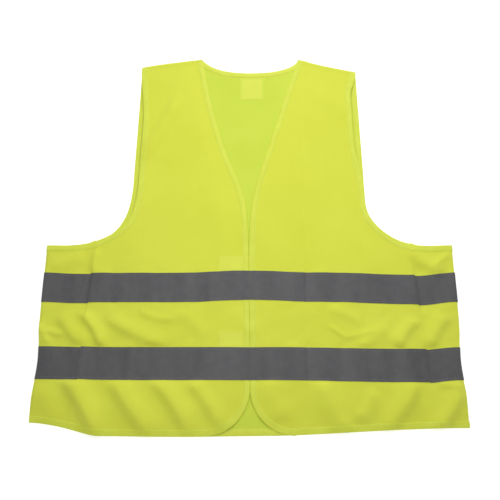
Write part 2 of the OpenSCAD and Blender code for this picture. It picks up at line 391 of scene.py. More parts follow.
def back_height(x, y):
    """Middle of the back cloth above the floor."""
    x, y = np.asarray(x, float), np.asarray(y, float)
    lift = 0.35 + ripple(x, y, 120, 0.22, 21) + ripple(x, y, 50, 0.1, 22)
    inner = smooth((HALF_W - np.abs(x)) / 30) * smooth(y / 40)
    lift = lift + 0.25 * smooth((y - 400) / 100) * ripple(x, y, 85, 1.0, 23)
    return BACK_Z + np.maximum(lift, 0) * inner


def past_shoulder(x, y):
    """Plan distance beyond the shoulder fold, negative on the vest."""
    out = np.full(x.shape, -1e9)
    for side in (LEFT, RIGHT):
        n = (side * x - NECK_PT[0]) * SHOULDER_OUT[0] + (y - NECK_PT[1]) * SHOULDER_OUT[1]
        out = np.maximum(out, np.where(side * x > 0, n, -1e9))
    return out


def over_shoulder(x, y, z):
    """Turns the last millimetres below the shoulder fold towards the height where both layers meet."""
    reach = (past_shoulder(x, y) + SHOULDER_TURN) / SHOULDER_TURN
    inner = np.clip(reach, 0, 1)
    drop = 1 - np.sqrt(1 - inner**2) + np.maximum(reach - 1, 0) * 6
    return lerp(z, MEET_Z, drop)


def front_point(x, y):
    """A point in the middle of the front cloth."""
    x, y = np.asarray(x, float), np.asarray(y, float)
    return np.stack([x, y, over_shoulder(x, y, front_height(x, y))], -1)


def unrolled(x):
    """The unrolled coordinate of a point of the front at distance x from the centre."""
    return 2 * TURN_X + TURN_LEN - x


def back_point(s, y):
    """The back cloth unrolled: s runs across the back, round the side fold and on to the front."""
    s, y = np.asarray(s, float), np.asarray(y, float)
    side = np.where(s < 0, -1.0, 1.0)
    reach = np.abs(s)
    on_back = side * np.minimum(reach, TURN_X)
    on_front = side * np.minimum(unrolled(reach), TURN_X)
    z_low = over_shoulder(on_back, y, back_height(on_back, y))
    z_high = over_shoulder(on_front, y, front_height(on_front, y))
    angle = np.clip((reach - TURN_X) / TURN_LEN, 0, 1) * math.pi
    turn = (reach > TURN_X) & (reach < TURN_X + TURN_LEN)
    x_turn = side * (TURN_X + TURN_R * np.sin(angle))
    z_turn = (z_low + z_high) / 2 - (z_high - z_low) / 2 * np.cos(angle)
    flat_x = np.where(reach <= TURN_X, on_back, on_front)
    flat_z = np.where(reach <= TURN_X, z_low, z_high)
    return np.stack([np.where(turn, x_turn, flat_x), y, np.where(turn, z_turn, flat_z)], -1)


def normals(surface, u, v):
    """Unit normals of a surface, pointing out of the vest."""
    step = 0.35
    across = surface(u + step, v) - surface(u - step, v)
    up = surface(u, v + step) - surface(u, v - step)
    n = np.cross(across, up) * (-1 if surface is back_point else 1)
    return n / np.maximum(np.linalg.norm(n, axis=-1), 1e-9)[..., None]


def lifted(surface, u, v, lift):
    """Points lift millimetres out from the middle of the cloth."""
    u, v = np.asarray(u, float), np.asarray(v, float)
    return surface(u, v) + normals(surface, u, v) * np.asarray(lift, float)[..., None]


# -------- meshes


def settle(points):
    """The vest lies slightly askew: it spreads more on one side, its shoulders tilt and its bands sag."""
    x, y = points[:, 0].copy(), points[:, 1].copy()
    left, right = np.maximum(x, 0), np.maximum(-x, 0)
    # sideways: each side spreads, and is drawn in at the armhole, the waist and the centre
    low = smooth((ARM_Y - y) / ARM_Y)
    spread = -smooth(right / 140) * (4.5 + 3.5 * low * smooth((right - 200) / 140))
    spread = spread + smooth((left - 200) / 140) * (3.0 + 2.0 * low)
    arm = 5.5 * bell((x - 200) / 42) * bell((y - 365) / 36)
    neck = bell((x - NECK_HALF) / 26) * smooth((y - 590) / 70)
    waist = 5.0 * bell((y - 112) / 42) * smooth((np.abs(x) - 200) / 140)
    meet = 2.2 * bell(x / 70) * smooth((y - 120) / 150) * smooth((560 - y) / 100)
    points[:, 0] += spread - np.sign(x) * waist - meet - arm + 3.2 * neck
    # up and down: the shoulders tilt, and the chest, the waist and the hem sag
    tilt = smooth((y - 400) / 200) * (5.0 * smooth(right / 190) - 4.5 * smooth((left - 60) / 135))
    chest = 1.2 * bell(x / 50) - 3.3 * smooth(right / 120) * (1 - 0.6 * smooth((right - 290) / 50))
    chest = chest - (2.6 * smooth(left / 110) + 4.2 * smooth((left - 120) / 150)) * (
        1 - 0.8 * smooth((left - 280) / 60))
    waist_sag = 3.0 * smooth((right - 200) / 140) - 0.6
    waist_sag = waist_sag - 3.3 * smooth((left - 30) / 220) + 4.5 * smooth((left - 280) / 60)
    broad = 0.06 * np.clip(y - 109, -27, 27) * bell((y - 109) / 50)
    hem = smooth((60 - y) / 60) * (1 - smooth((right - 230) / 60))
    hem = hem * (2.2 + 1.8 * bell((x + 110) / 110))
    sag = between(y, 150, 335, 55) * chest + between(y, 10, 175, 55) * waist_sag
    points[:, 1] += tilt + sag + broad - hem + 2.4 * neck
    return points


def to_frame(points):
    """Millimetres counted from the hem to metres in the frame."""
    points = settle(np.array(points, float))
    points[:, 1] += HEM_SHIFT
    return points * MM


def make_object(name, points, faces, flat, material):
    """A mesh object from points in millimetres, with flat cloth coordinates as its UV map."""
    mesh = bpy.data.meshes.new(name)
    mesh.from_pydata(to_frame(points).tolist(), [], [list(map(int, f)) for f in faces])
    mesh.update()
    layer = mesh.uv_layers.new(name="cloth")
    corner = np.zeros(len(mesh.loops), np.int32)
    mesh.loops.foreach_get("vertex_index", corner)
    flat = np.asarray(flat, float)[:, :2] * MM
    layer.data.foreach_set("uv", flat[corner].astype(np.float32).ravel())
    mesh.polygons.foreach_set("use_smooth", [True] * len(mesh.polygons))
    mesh.set_sharp_from_angle(angle=math.radians(50))
    mesh.materials.append(material)
    obj = bpy.data.objects.new(name, mesh)
    bpy.context.scene.collection.objects.link(obj)
    return obj


def vertex_normals(points, faces):
    tri = np.asarray(faces)
    a, b, c = points[tri[:, 0]], points[tri[:, 1]], points[tri[:, 2]]
    face = np.cross(b - a, c - a)
    out = np.zeros_like(points)
    for k in range(3):
        np.add.at(out, tri[:, k], face)
    return out / np.maximum(np.linalg.norm(out, axis=1), 1e-12)[:, None]


def thicken(points, tris, thickness):
    """Two faces and a rim for a surface of triangles."""
    tris = np.asarray(tris)
    normal = vertex_normals(points, tris)
    count = len(points)
    solid = np.concatenate([points + normal * thickness / 2, points - normal * thickness / 2])
    sides = np.concatenate([tris[:, [0, 1]], tris[:, [1, 2]], tris[:, [2, 0]]])
    key = np.minimum(sides[:, 0], sides[:, 1]) * count + np.maximum(sides[:, 0], sides[:, 1])
    _, index, times = np.unique(key, return_index=True, return_counts=True)
    rim = sides[index[times == 1]]
    faces = tris.tolist() + (tris[:, ::-1] + count).tolist()
    faces += [[b, a, a + count, b + count] for a, b in rim]
    return solid, faces


def inside(x, y, outline):
    """Which points lie inside a closed outline."""
    hit = np.zeros(x.shape, bool)
    for a, b in zip(outline, np.roll(outline, -1, axis=0)):
        crosses = (a[1] > y) != (b[1] > y)
        with np.errstate(divide="ignore", invalid="ignore"):
            at = a[0] + (y - a[1]) * (b[0] - a[0]) / (b[1] - a[1])
        hit ^= crosses & (x < at)
    return hit


def graded(low, high, step, lines):
    """Grid values about step apart, with closer ones at the given pressed lines."""
    values = np.arange(low, high + step, step)
    extra = np.array([line + d for line in lines for d in (-2.4, -1.1, 0, 1.1, 2.4)])
    if len(extra):
        far = np.abs(values[:, None] - extra[None, :]).min(1) > 0.8
        values = np.concatenate([values[far], extra])
    return np.sort(values)


def densify(outline, step):
    """The same closed outline with no edge much longer than step."""
    points = []
    for a, b in zip(outline, np.roll(outline, -1, axis=0)):
        count = max(1, int(round(np.linalg.norm(b - a) / step)))
        points += [lerp(a, b, k / count) for k in range(count)]
    return np.array(points)


def triangulate(outline, step, columns=(), rows=()):
    """Points and triangles that fill an outline, with a regular grid inside."""
    outline = densify(outline, step)
    low, high = outline.min(0), outline.max(0)
    xs, ys = graded(low[0], high[0], step, columns), graded(low[1], high[1], step, rows)
    gx, gy = (g.ravel() for g in np.meshgrid(xs, ys))
    keep = inside(gx, gy, outline)
    gx, gy = gx[keep], gy[keep]
    clear = distance_to(gx, gy, np.concatenate([outline, outline[:1]])) > step * 0.35
    grid = np.stack([gx[clear], gy[clear]], 1)
    points = np.concatenate([outline, grid])
    edges = [(i, (i + 1) % len(outline)) for i in range(len(outline))]
    made = geometry.delaunay_2d_cdt([Vector(p) for p in points], edges, [], 1, 1e-5)
    flat = np.array([tuple(p) for p in made[0]])
    tris = np.array(made[2])
    a, b, c = flat[tris[:, 0]], flat[tris[:, 1]], flat[tris[:, 2]]
    turn = (b[:, 0] - a[:, 0]) * (c[:, 1] - a[:, 1]) - (b[:, 1] - a[:, 1]) * (c[:, 0] - a[:, 0])
    tris[turn < 0] = tris[turn < 0][:, ::-1]
    return flat, tris[np.abs(turn) > 1e-6]


def thick_piece(name, points, tris, flat, thickness, material):
    """A thin sheet given its thickness; both of its faces have the same flat coordinates."""
    solid, faces = thicken(points, tris, thickness)
    return make_object(name, solid, faces, np.concatenate([flat, flat]), material)


def corners_of(x0, y0, x1, y1):
    """The corners of a rectangle, in order round it."""
    return np.array([[x0, y0], [x1, y0], [x1, y1], [x0, y1]])


def cloth_piece(name, outline, step, surface, thickness, material, columns=(), rows=()):
    """A sheet of cloth: surface turns flat points into places in space."""
    flat, tris = triangulate(np.asarray(outline, float), step, columns, rows)
    return thick_piece(name, surface(flat[:, 0], flat[:, 1]), tris, flat, thickness, material), len(tris)


def grid_tris(rows, cols):
    at = np.arange(rows * cols).reshape(rows, cols)
    a, b, c, d = (g.ravel() for g in (at[:-1, :-1], at[:-1, 1:], at[1:, 1:], at[1:, :-1]))
    return np.concatenate([np.stack([a, b, c], 1), np.stack([a, c, d], 1)])


def tube_faces(count, around):
    """Faces between count rings of points, and one across each end."""
    faces = []
    for i in range(count - 1):
        for k in range(around):
            m = (k + 1) % around
            faces.append((i * around + k, (i + 1) * around + k, (i + 1) * around + m, i * around + m))
    faces.append(tuple(reversed(range(around))))
    faces.append(tuple((count - 1) * around + k for k in range(around)))
    return faces


def swept_piece(name, surface, path, inward, section, material):
    """A strip along a path on a cloth surface; its section lists (inward, lift) pairs."""
    reach = np.array([d for d, _ in section])
    lift = np.array([h for _, h in section])
    u = path[:, 0, None] + inward[:, 0, None] * reach
    v = path[:, 1, None] + inward[:, 1, None] * reach
    rings = lifted(surface, u, v, np.broadcast_to(lift, u.shape))
    count, around = u.shape
    along = distance_along(path)
    flat = np.stack([np.repeat(along, around), np.tile(reach + 2 * np.sign(lift), count)], 1)
    piece = make_object(name, rings.reshape(-1, 3), tube_faces(count, around), flat, material)
    fix_normals(piece)
    return piece


def fix_normals(obj):
    """Makes every face look outwards."""
    mesh = bmesh.new()
    mesh.from_mesh(obj.data)
    bmesh.ops.recalc_face_normals(mesh, faces=mesh.faces)
    mesh.to_mesh(obj.data)
    mesh.free()


def inward_along(path, start=None, end=None, reach=14.0):
    """Directions from the edge into the cloth; the ends may turn to follow a seam."""
    inward = left_of(path)
    along = distance_along(path)
    for target, distance in ((start, along), (end, along[-1] - along)):
        if target is not None:
            share = (1 - smooth(distance / reach))[:, None]
            inward = inward * (1 - share) + np.array(target) * share
    return inward / np.linalg.norm(inward, axis=1)[:, None]


def stitch_row(surface, path, lift, pitch=3.5, length=2.5, width=0.5):
    """Short lozenges of thread along a line on a cloth surface, as points and faces."""
    along = distance_along(path)
    at = np.arange(pitch / 2, along[-1], pitch)
    u, v = np.interp(at, along, path[:, 0]), np.interp(at, along, path[:, 1])
    du = np.interp(at + 0.3, along, path[:, 0]) - np.interp(at - 0.3, along, path[:, 0])
    dv = np.interp(at + 0.3, along, path[:, 1]) - np.interp(at - 0.3, along, path[:, 1])
    size = np.maximum(np.hypot(du, dv), 1e-9)
    du, dv = du / size, dv / size
    middle = lifted(surface, u, v, np.full(u.shape, lift))
    ahead = lifted(surface, u + du * 0.5, v + dv * 0.5, np.full(u.shape, lift)) - middle
    ahead /= np.linalg.norm(ahead, axis=1)[:, None]
    up = normals(surface, u, v)
    aside = np.cross(up, ahead)
    corners = [(-1, 0, -0.5), (-0.5, 1, 0), (-0.5, 0, 1), (-0.5, -1, 0),
               (0.5, 1, 0), (0.5, 0, 1), (0.5, -1, 0), (1, 0, -0.5)]
    points = [middle + a * ahead * length / 2 + b * aside * width / 2 + c * up * width / 2
              for a, b, c in corners]
    points = np.stack(points, 1).reshape(-1, 3)
    shape = [(0, 1, 2), (0, 2, 3), (1, 4, 5, 2), (2, 5, 6, 3), (4, 7, 5), (5, 7, 6), (0, 3, 1),
             (1, 3, 6, 4), (4, 6, 7)]
    faces = [[8 * i + k for k in face] for i in range(len(u)) for face in shape]
    return points, faces


def stitch_piece(name, rows, material):
    """One mesh from several rows of stitches."""
    points, faces, base = [], [], 0
    for row_points, row_faces in rows:
        points.append(row_points)
        faces += [[base + k for k in face] for face in row_faces]
        base += len(row_points)
    points = np.concatenate(points)
    return make_object(name, points, faces, points[:, :2], material)


# -------- materials


class Graph:
    """A new material's node graph, with a short call for each kind of node used here."""

    def __init__(self, name):
        self.material = bpy.data.materials.new(name)
        self.material.use_nodes = True
        self.tree = self.material.node_tree
        self.shader = self.tree.nodes["Principled BSDF"]

    def node(self, kind, source=None, socket="Vector", **values):
        """A node fed by source, with the values of its other sockets."""
        node = self.tree.nodes.new(f"ShaderNode{kind}")
        for name, value in values.items():
            node.inputs[name].default_value = value
        if source is not None:
            self.tree.links.new(source, node.inputs[socket])
        return node

    def coordinates(self, scale=(1, 1, 1)):
        """Flat cloth coordinates in metres, times scale."""
        uv = self.node("UVMap")
        uv.uv_map = "cloth"
        return self.node("Mapping", uv.outputs["UV"], Scale=scale).outputs["Vector"]

    def noise(self, vector, scale, detail=3.0):
        return self.node("TexNoise", vector, Scale=scale, Detail=detail).outputs["Fac"]

    def stripes(self, vector, direction, scale, distortion=0.0):
        node = self.node("TexWave", vector, Scale=scale, Distortion=distortion)
        node.bands_direction = direction
        return node.outputs["Fac"]

    def math(self, operation, a, b):
        node = self.tree.nodes.new("ShaderNodeMath")
        node.operation = operation
        for socket, value in zip(node.inputs, (a, b)):
            if isinstance(value, (int, float)):
                socket.default_value = value
            else:
                self.tree.links.new(value, socket)
        return node.outputs[0]

    def mixed(self, *terms):
        """The sum of several values, each times its weight."""
        total, *rest = [self.math("MULTIPLY", value, weight) for value, weight in terms]
        for part in rest:
            total = self.math("ADD", total, part)
        return total

    def color(self, factor, low, high, start=0.3, end=0.7):
        """The base colour goes from low to high as factor goes from start to end."""
        node = self.node("ValToRGB", factor, "Fac")
        for stop, place, shade in zip(node.color_ramp.elements, (start, end), (low, high)):
            stop.position = place
            stop.color = (*shade, 1)
        self.tree.links.new(node.outputs["Color"], self.shader.inputs["Base Color"])

    def bump(self, height, distance):
        node = self.node("Bump", height, "Height", Distance=distance, Strength=1.0)
        self.tree.links.new(node.outputs["Normal"], self.shader.inputs["Normal"])

    def made(self, values):
        """The material, once these values of its shader are set."""
        for name, value in values.items():
            self.shader.inputs[name].default_value = value
        return self.material


def knit_material(name, low, high):
    """Warp-knit polyester: fine columns of loops, with a slow drift of tone."""
    graph = Graph(name)
    vector = graph.coordinates()
    columns = graph.stripes(vector, "X", 280, 0.6)
    courses = graph.stripes(vector, "Y", 360, 0.4)
    loops = graph.math("MULTIPLY", columns, courses)
    drift = graph.noise(vector, 9)
    grain = graph.noise(vector, 900, 2)
    graph.color(graph.mixed((drift, 0.5), (grain, 0.2), (loops, 0.3)), low, high, 0.25, 0.65)
    graph.bump(graph.mixed((loops, 1.0), (grain, 0.5)), 0.00018)
    return graph.made({"Roughness": 0.82, "Specular IOR Level": 0.25, "Sheen Weight": 0.12,
                         "Sheen Roughness": 0.5})


def woven_material(name, low, high, pitch, roughness, depth):
    """A close plain weave with a slight satin gloss."""
    graph = Graph(name)
    vector = graph.coordinates()
    weave = graph.math("MULTIPLY", graph.stripes(vector, "X", pitch), graph.stripes(vector, "Y", pitch))
    graph.color(graph.mixed((weave, 0.4), (graph.noise(vector, 60), 1.0)), low, high, 0.4, 0.9)
    graph.bump(weave, depth)
    return graph.made({"Roughness": roughness, "Sheen Weight": 0.1})


def tape_material():
    """Grey glass-bead tape: a fine sparkle on a woven ground, soft wear marks, and painted shade in soft
    bands that run across the tape.
    """
    graph = Graph("reflective_tape")
    vector = graph.coordinates()
    beads = graph.node("TexVoronoi", vector, Scale=1500).outputs["Distance"]
    ground = graph.stripes(vector, "Y", 330, 0.3)
    # drift varies mostly along the tape: painted shade in soft bands, standing in for the shading of its
    # undulations
    drift = graph.noise(graph.coordinates((1, 0.15, 1)), 34)
    scuff = graph.noise(vector, 70, 6)
    tone = graph.mixed((drift, 0.45), (scuff, 0.3), (beads, 0.3))
    graph.color(tone, (0.082, 0.081, 0.086), (0.130, 0.129, 0.133), 0.32, 0.72)
    graph.bump(graph.math("ADD", beads, ground), 0.00006)
    return graph.made({"Roughness": 0.5, "Specular IOR Level": 0.3})


def thread_material(name, color):
    """Twisted polyester thread."""
    graph = Graph(name)
    twist = graph.stripes(graph.coordinates(), "DIAGONAL", 900)
    graph.color(twist, tuple(0.8 * c for c in color), color, 0.2, 0.8)
    return graph.made({"Roughness": 0.55})


def pile_material():
    """Brushed loop pile or hook strip: a close random nap."""
    graph = Graph("closure_pile")
    nap = graph.noise(graph.coordinates(), 1400, 4)
    graph.color(nap, (0.77, 0.835, 0.078), (0.87, 0.93, 0.105))
    graph.bump(nap, 0.0005)
    return graph.made({"Roughness": 0.95, "Sheen Weight": 0.4})


knit = knit_material("knit_front", (0.76, 0.82, 0.062), (0.84, 0.90, 0.090))
# a greener copy of the same knit for the inside of the back: painted shade and bounced light between the
# layers
knit_inside_painted_shade = knit_material("knit_inside_painted_shade", (0.69, 0.825, 0.070), (0.76, 0.90, 0.098))
binding_mat = woven_material("binding", (0.735, 0.815, 0.052), (0.80, 0.885, 0.072), 700, 0.5, 0.00006)
label_mat = woven_material("label", (0.75, 0.83, 0.06), (0.81, 0.88, 0.075), 1200, 0.5, 0.00003)
tape_mat = tape_material()
lime_thread = thread_material("lime_thread", (0.74, 0.85, 0.07))
grey_thread = thread_material("grey_thread", (0.26, 0.26, 0.27))
pile_mat = pile_material()

# -------- baking the front pieces in place


def bend_front(obj):
    """Bakes the piece's transform into its mesh; the front stays as it lies."""
    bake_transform(obj)


# -------- cloth panels

FRONT_GRAIN, BACK_GRAIN = 3.4, 3.6  # size of the triangles of the cloth


def front_outline(side):
    """One front in plan, from the centre edge to the side seam."""
    foot = side * seam_x(0, side)
    hem = hem_path(side * (EDGE_X + CORNER_R), foot)[1:]
    arm = flip(front_arm(side, True), side)
    return np.concatenate([flip(edge_path(side), side), hem, arm])[:-1]


def side_strip(side):
    """Unrolled hem and armhole edges of one half of the back, as far as its side seam."""
    s = np.linspace(0, unrolled(seam_x(0, side)), 150)
    hem = np.stack([s, hem_y(side * np.minimum(np.minimum(s, unrolled(s)), HALF_W))], 1)
    strip = front_arm(side, False)
    strip[:, 0] = unrolled(strip[:, 0])
    back_arm = arm_path()
    back_arm = back_arm[back_arm[:, 0] < TURN_X]
    return hem, np.concatenate([strip[::-1], back_arm])


def back_outline():
    """The back unrolled, with the strips that wrap forward to the side seams."""
    left_hem, left_arm = side_strip(LEFT)
    right_hem, right_arm = side_strip(RIGHT)
    return np.concatenate([
        flip(right_hem[::-1], RIGHT)[:-1], left_hem, left_arm, neck_path()[1:-1],
        flip(right_arm[::-1], RIGHT),
    ])


def build_fronts():
    rows = [corner.y for box in TAPES.values() for corner in box]
    for side in (LEFT, RIGHT):
        name = SIDE_NAME[side]
        outline = front_outline(side)
        columns = [c for c in PACKING_LINES if c * side > 0]
        piece, _ = cloth_piece(f"{name}_front_cloth", outline, FRONT_GRAIN, front_point, CLOTH_T, knit,
                               columns, rows)
        bend_front(piece)
        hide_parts(f"{name}_front_side", f"{name}_front_flap")


def build_back():
    outline = back_outline()
    piece, inner_faces = cloth_piece("back_cloth", outline, BACK_GRAIN, back_point, CLOTH_T, knit)
    # the inner face of the back gets the greener copy of the knit: painted shade and bounced light between
    # the layers
    piece.data.materials.append(knit_inside_painted_shade)
    slots = np.zeros(len(piece.data.polygons), np.int32)
    slots[:inner_faces] = 1
    piece.data.polygons.foreach_set("material_index", slots)
    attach(piece, "back")
    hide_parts("back_panel")


# -------- bindings

BIND_OUT = CLOTH_T / 2 + 0.42
BIND_IN = CLOTH_T / 2 + 0.04
RIM = 0.75
STITCH_FROM_LIP = 1.9


def binding_section(width):
    """A folded tape seen from its end: over the top of the edge, round it, and back below."""
    outer = [(width, BIND_IN + 0.14), (width - 0.5, BIND_OUT), (width / 2, BIND_OUT + 0.1),
             (1.0, BIND_OUT), (0.1, BIND_OUT * 0.86), (-RIM * 0.75, BIND_OUT * 0.5), (-RIM, 0)]
    inner = [(width, BIND_IN), (width / 2, BIND_IN), (0.3, BIND_IN), (-0.3, 0)]
    below = [(d, -h) for d, h in reversed(outer[:-1])]
    inner_below = [(d, -h) for d, h in inner[:-1]]
    return outer + below + inner_below + inner[::-1]


def bound_edge(name, surface, path, inward, nodes, ride, width=BIND_W):
    """A binding along an edge, with its two rows of stitches."""
    piece = swept_piece(name, surface, path, inward, binding_section(width), binding_mat)
    ride(piece)
    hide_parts(*nodes)
    line = path + inward * (width - STITCH_FROM_LIP)
    rows = [stitch_row(surface, line, BIND_OUT + 0.12), stitch_row(surface, line, -BIND_OUT - 0.12)]
    stitches = stitch_piece(f"{name}_stitches", rows, lime_thread)
    ride(stitches)
    return piece


def ride_back(obj):
    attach(obj, "back")


def build_binding_join(side, path, inward):
    """The folded end of the armhole binding, lapped over its start at the side seam."""
    at = int(np.argmax(np.abs(path[:, 0]) > unrolled(seam_x(ARM_Y, side)) - 12))
    short, aside = resample(path[at:at + 3], 1.2), inward[at]
    top = BIND_OUT + 0.5
    section = [(BIND_W + 0.6, BIND_OUT + 0.15), (BIND_W / 2, top), (0, top), (-RIM - 1.0, 0),
               (0, -top), (BIND_W / 2, -top), (BIND_W + 0.6, -BIND_OUT - 0.15),
               (BIND_W / 2, -BIND_OUT - 0.2), (0, -BIND_OUT - 0.1), (-RIM - 0.3, 0),
               (0, BIND_OUT + 0.1), (BIND_W / 2, BIND_OUT + 0.2)]
    name = f"{SIDE_NAME[side]}_arm_binding_join"
    piece = swept_piece(name, back_point, short, np.tile(aside, (len(short), 1)), section, binding_mat)
    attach(piece, "back")


def build_front_bindings():
    for side in (LEFT, RIGHT):
        name = SIDE_NAME[side]
        hem = hem_path(side * (EDGE_X + CORNER_R), side * (seam_x(0, side) - 0.3))[1:]
        path = np.concatenate([edge_path(side), flip(hem, side)])
        inward = inward_along(path, start=SHOULDER_DIR)
        if side == RIGHT:
            path, inward = flip(path, side), flip(inward, side)
        bound_edge(f"{name}_edge_binding", front_point, path, inward,
                   [f"{name}_front_edge_binding", f"{name}_side_hem_binding"],
                   lambda obj, side=side: bend_front(obj))


def build_armhole_bindings():
    for side in (LEFT, RIGHT):
        back_arm = arm_path()
        back_arm = back_arm[back_arm[:, 0] < TURN_X][::-1]
        turn = np.array([[TURN_X + TURN_LEN * t, 0] for t in np.linspace(0.04, 0.96, 9)])
        turn[:, 1] = back_arm[-1, 1]
        over = arm_path(side)
        over = over[over[:, 0] < TURN_X]
        over[:, 0] = unrolled(over[:, 0])
        path = np.concatenate([back_arm, turn, over])
        tip_in = -SHOULDER_DIR
        inward = -inward_along(path, start=-tip_in, end=-np.array([-tip_in[0], tip_in[1]]))
        if side == RIGHT:
            path, inward = flip(path, side), flip(inward, side)
        bound_edge(f"{SIDE_NAME[side]}_arm_binding", back_point, path, inward,
                   [f"{SIDE_NAME[side]}_armhole_binding"], ride_back)
        build_binding_join(side, path, inward)


def build_back_bindings():
    left_hem, _ = side_strip(LEFT)
    right_hem, _ = side_strip(RIGHT)
    path = np.concatenate([flip(right_hem[::-1], RIGHT)[:-1], left_hem])
    bound_edge("back_hem_edge", back_point, path, inward_along(path), ["back_hem_binding"], ride_back)
    path = neck_path()
    inward = inward_along(path, start=SHOULDER_DIR, end=flip([SHOULDER_DIR], RIGHT)[0])
    bound_edge("neck_edge", back_point, path, inward, ["neck_binding"], ride_back)


# -------- seams


def build_shoulder_seams():
    """A narrow turned seam that wraps both layers along each shoulder."""
    for side in (LEFT, RIGHT):
        along = np.linspace(BIND_W + 0.4, SHOULDER_LEN - BIND_W - 0.4, 36)
        profile = np.linspace(-6.5, -0.02, 12)
        rings = []
        for t in along:
            base = NECK_PT + SHOULDER_DIR * t
            plan = base + np.outer(profile, SHOULDER_OUT)
            x, y = side * plan[:, 0], plan[:, 1]
            top = front_point(x, y)[:, 2]
            low = back_point(x, y)[:, 2]
            line = np.concatenate([np.stack([profile, top], 1), np.stack([profile, low], 1)[::-1]])
            way = np.gradient(line, axis=0)
            way /= np.maximum(np.linalg.norm(way, axis=1), 1e-9)[:, None]
            out = np.stack([-way[:, 1], way[:, 0]], 1)
            lip = np.minimum(np.arange(len(line)), np.arange(len(line))[::-1]) / 5
            outer = line + out * (0.3 + 0.27 * np.minimum(lip, 1))[:, None]
            inner = line + out * 0.27
            ring = np.concatenate([outer, inner[::-1]])
            place = base + np.outer(ring[:, 0], SHOULDER_OUT)
            rings.append(np.stack([side * place[:, 0], place[:, 1], ring[:, 1]], 1))
        rings = np.array(rings)
        count, around = rings.shape[:2]
        faces = tube_faces(count, around)
        flat = np.stack([np.repeat(along, around), np.tile(np.arange(around) * 0.6, count)], 1)
        piece = make_object(f"{SIDE_NAME[side]}_shoulder_join", rings.reshape(-1, 3), faces, flat, knit)
        fix_normals(piece)
        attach(piece, "back")
        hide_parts(f"{SIDE_NAME[side]}_shoulder_seam")


def build_side_seams():
    """The turned-in allowance under each side seam, with its overlock stitches."""
    for side in (LEFT, RIGHT):
        y = np.linspace(hem_y(side * seam_x(0, side)) + BIND_W + 0.5, ARM_Y + 4 - BIND_W, 80)
        path = np.stack([side * seam_x(y, side), y], 1)
        inward = left_of(path)
        under = -CLOTH_T / 2
        section = [(-4.5, under - 0.1), (4.5, under - 0.1), (4.5, under - 0.55), (-4.5, under - 0.55)]
        name = f"{SIDE_NAME[side]}_side_join"
        piece = swept_piece(name, front_point, path, inward, section, knit)
        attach(piece, "back")
        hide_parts(f"{SIDE_NAME[side]}_side_seam")
        rows = [stitch_row(front_point, path + inward * d, under - 0.6) for d in (-3, -1.5, 1.5, 3)]
        stitches = stitch_piece(f"{name}_stitches", rows, lime_thread)
        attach(stitches, "back")


# -------- tapes

TAPE_LIFT = CLOTH_T / 2 + TAPE_T / 2 + 0.3
TAPE_EDGE = 0.1
OVER_BINDING = BIND_OUT + 0.1 - CLOTH_T / 2
TAPE_ROWS = 22
TAPE_STEP = 2.6
BACK_TAPE_STEP = 3.0
BACK_TAPE_DROP = 1.2  # the back's tapes lie slightly lower than those of the fronts
SEAM_LAP = 2.0
STITCH_IN = 3.4


def tape_piece(name, surface, us, vs, over):
    """A strip of tape on a cloth surface; over adds lift where it crosses a binding."""
    u, v = (g.ravel() for g in np.meshgrid(us, vs, indexing="ij"))
    u = u + seam_shear(surface, u, v, vs.mean())
    points = lifted(surface, u, v, TAPE_LIFT + over(u))
    tris = grid_tris(len(us), len(vs))
    facing = (vertex_normals(points, tris) * normals(surface, u, v)).sum()
    if facing < 0:
        tris = tris[:, ::-1]
    piece = thick_piece(name, points, tris, np.stack([u, v], 1), TAPE_T, tape_mat)
    return piece, corners_of(us[0], vs[0], us[-1], vs[-1])


def seam_shear(surface, u, v, middle):
    """Slants the ends of a tape so that they follow the side seams."""
    shift = np.zeros_like(u)
    for side in (LEFT, RIGHT):
        foot = seam_x(middle, side)
        lean = seam_x(v, side) - foot
        if surface is back_point:
            foot, lean = unrolled(foot), -lean
        shift = shift + side * lean * smooth((side * u - foot + 40) / 40)
    return shift


def over_front_binding(u):
    """Extra lift over the binding at the front edge, and over the back's tape at the side seam."""
    lap = 0.5 * smooth((np.abs(u) - np.abs(u).max() + 14) / 8)
    return OVER_BINDING * smooth((BIND_W + 5 - np.abs(u)) / 4) + lap


def no_lift(u):
    return np.zeros_like(u)


def tape_stitches(name, surface, us, vs):
    """Rows along both edges of a tape, on its face and on the inside of the cloth."""
    lines = []
    for v in (vs[0] + STITCH_IN, vs[-1] - STITCH_IN):
        path = np.stack([us, np.full(us.shape, v)], 1)
        height = TAPE_LIFT + TAPE_T / 2 + 0.08
        lines.append(stitch_row(surface, path, height))
        lines.append(stitch_row(surface, path, -CLOTH_T / 2 - 0.1))
    return stitch_piece(f"{name}_stitches", lines, grey_thread)


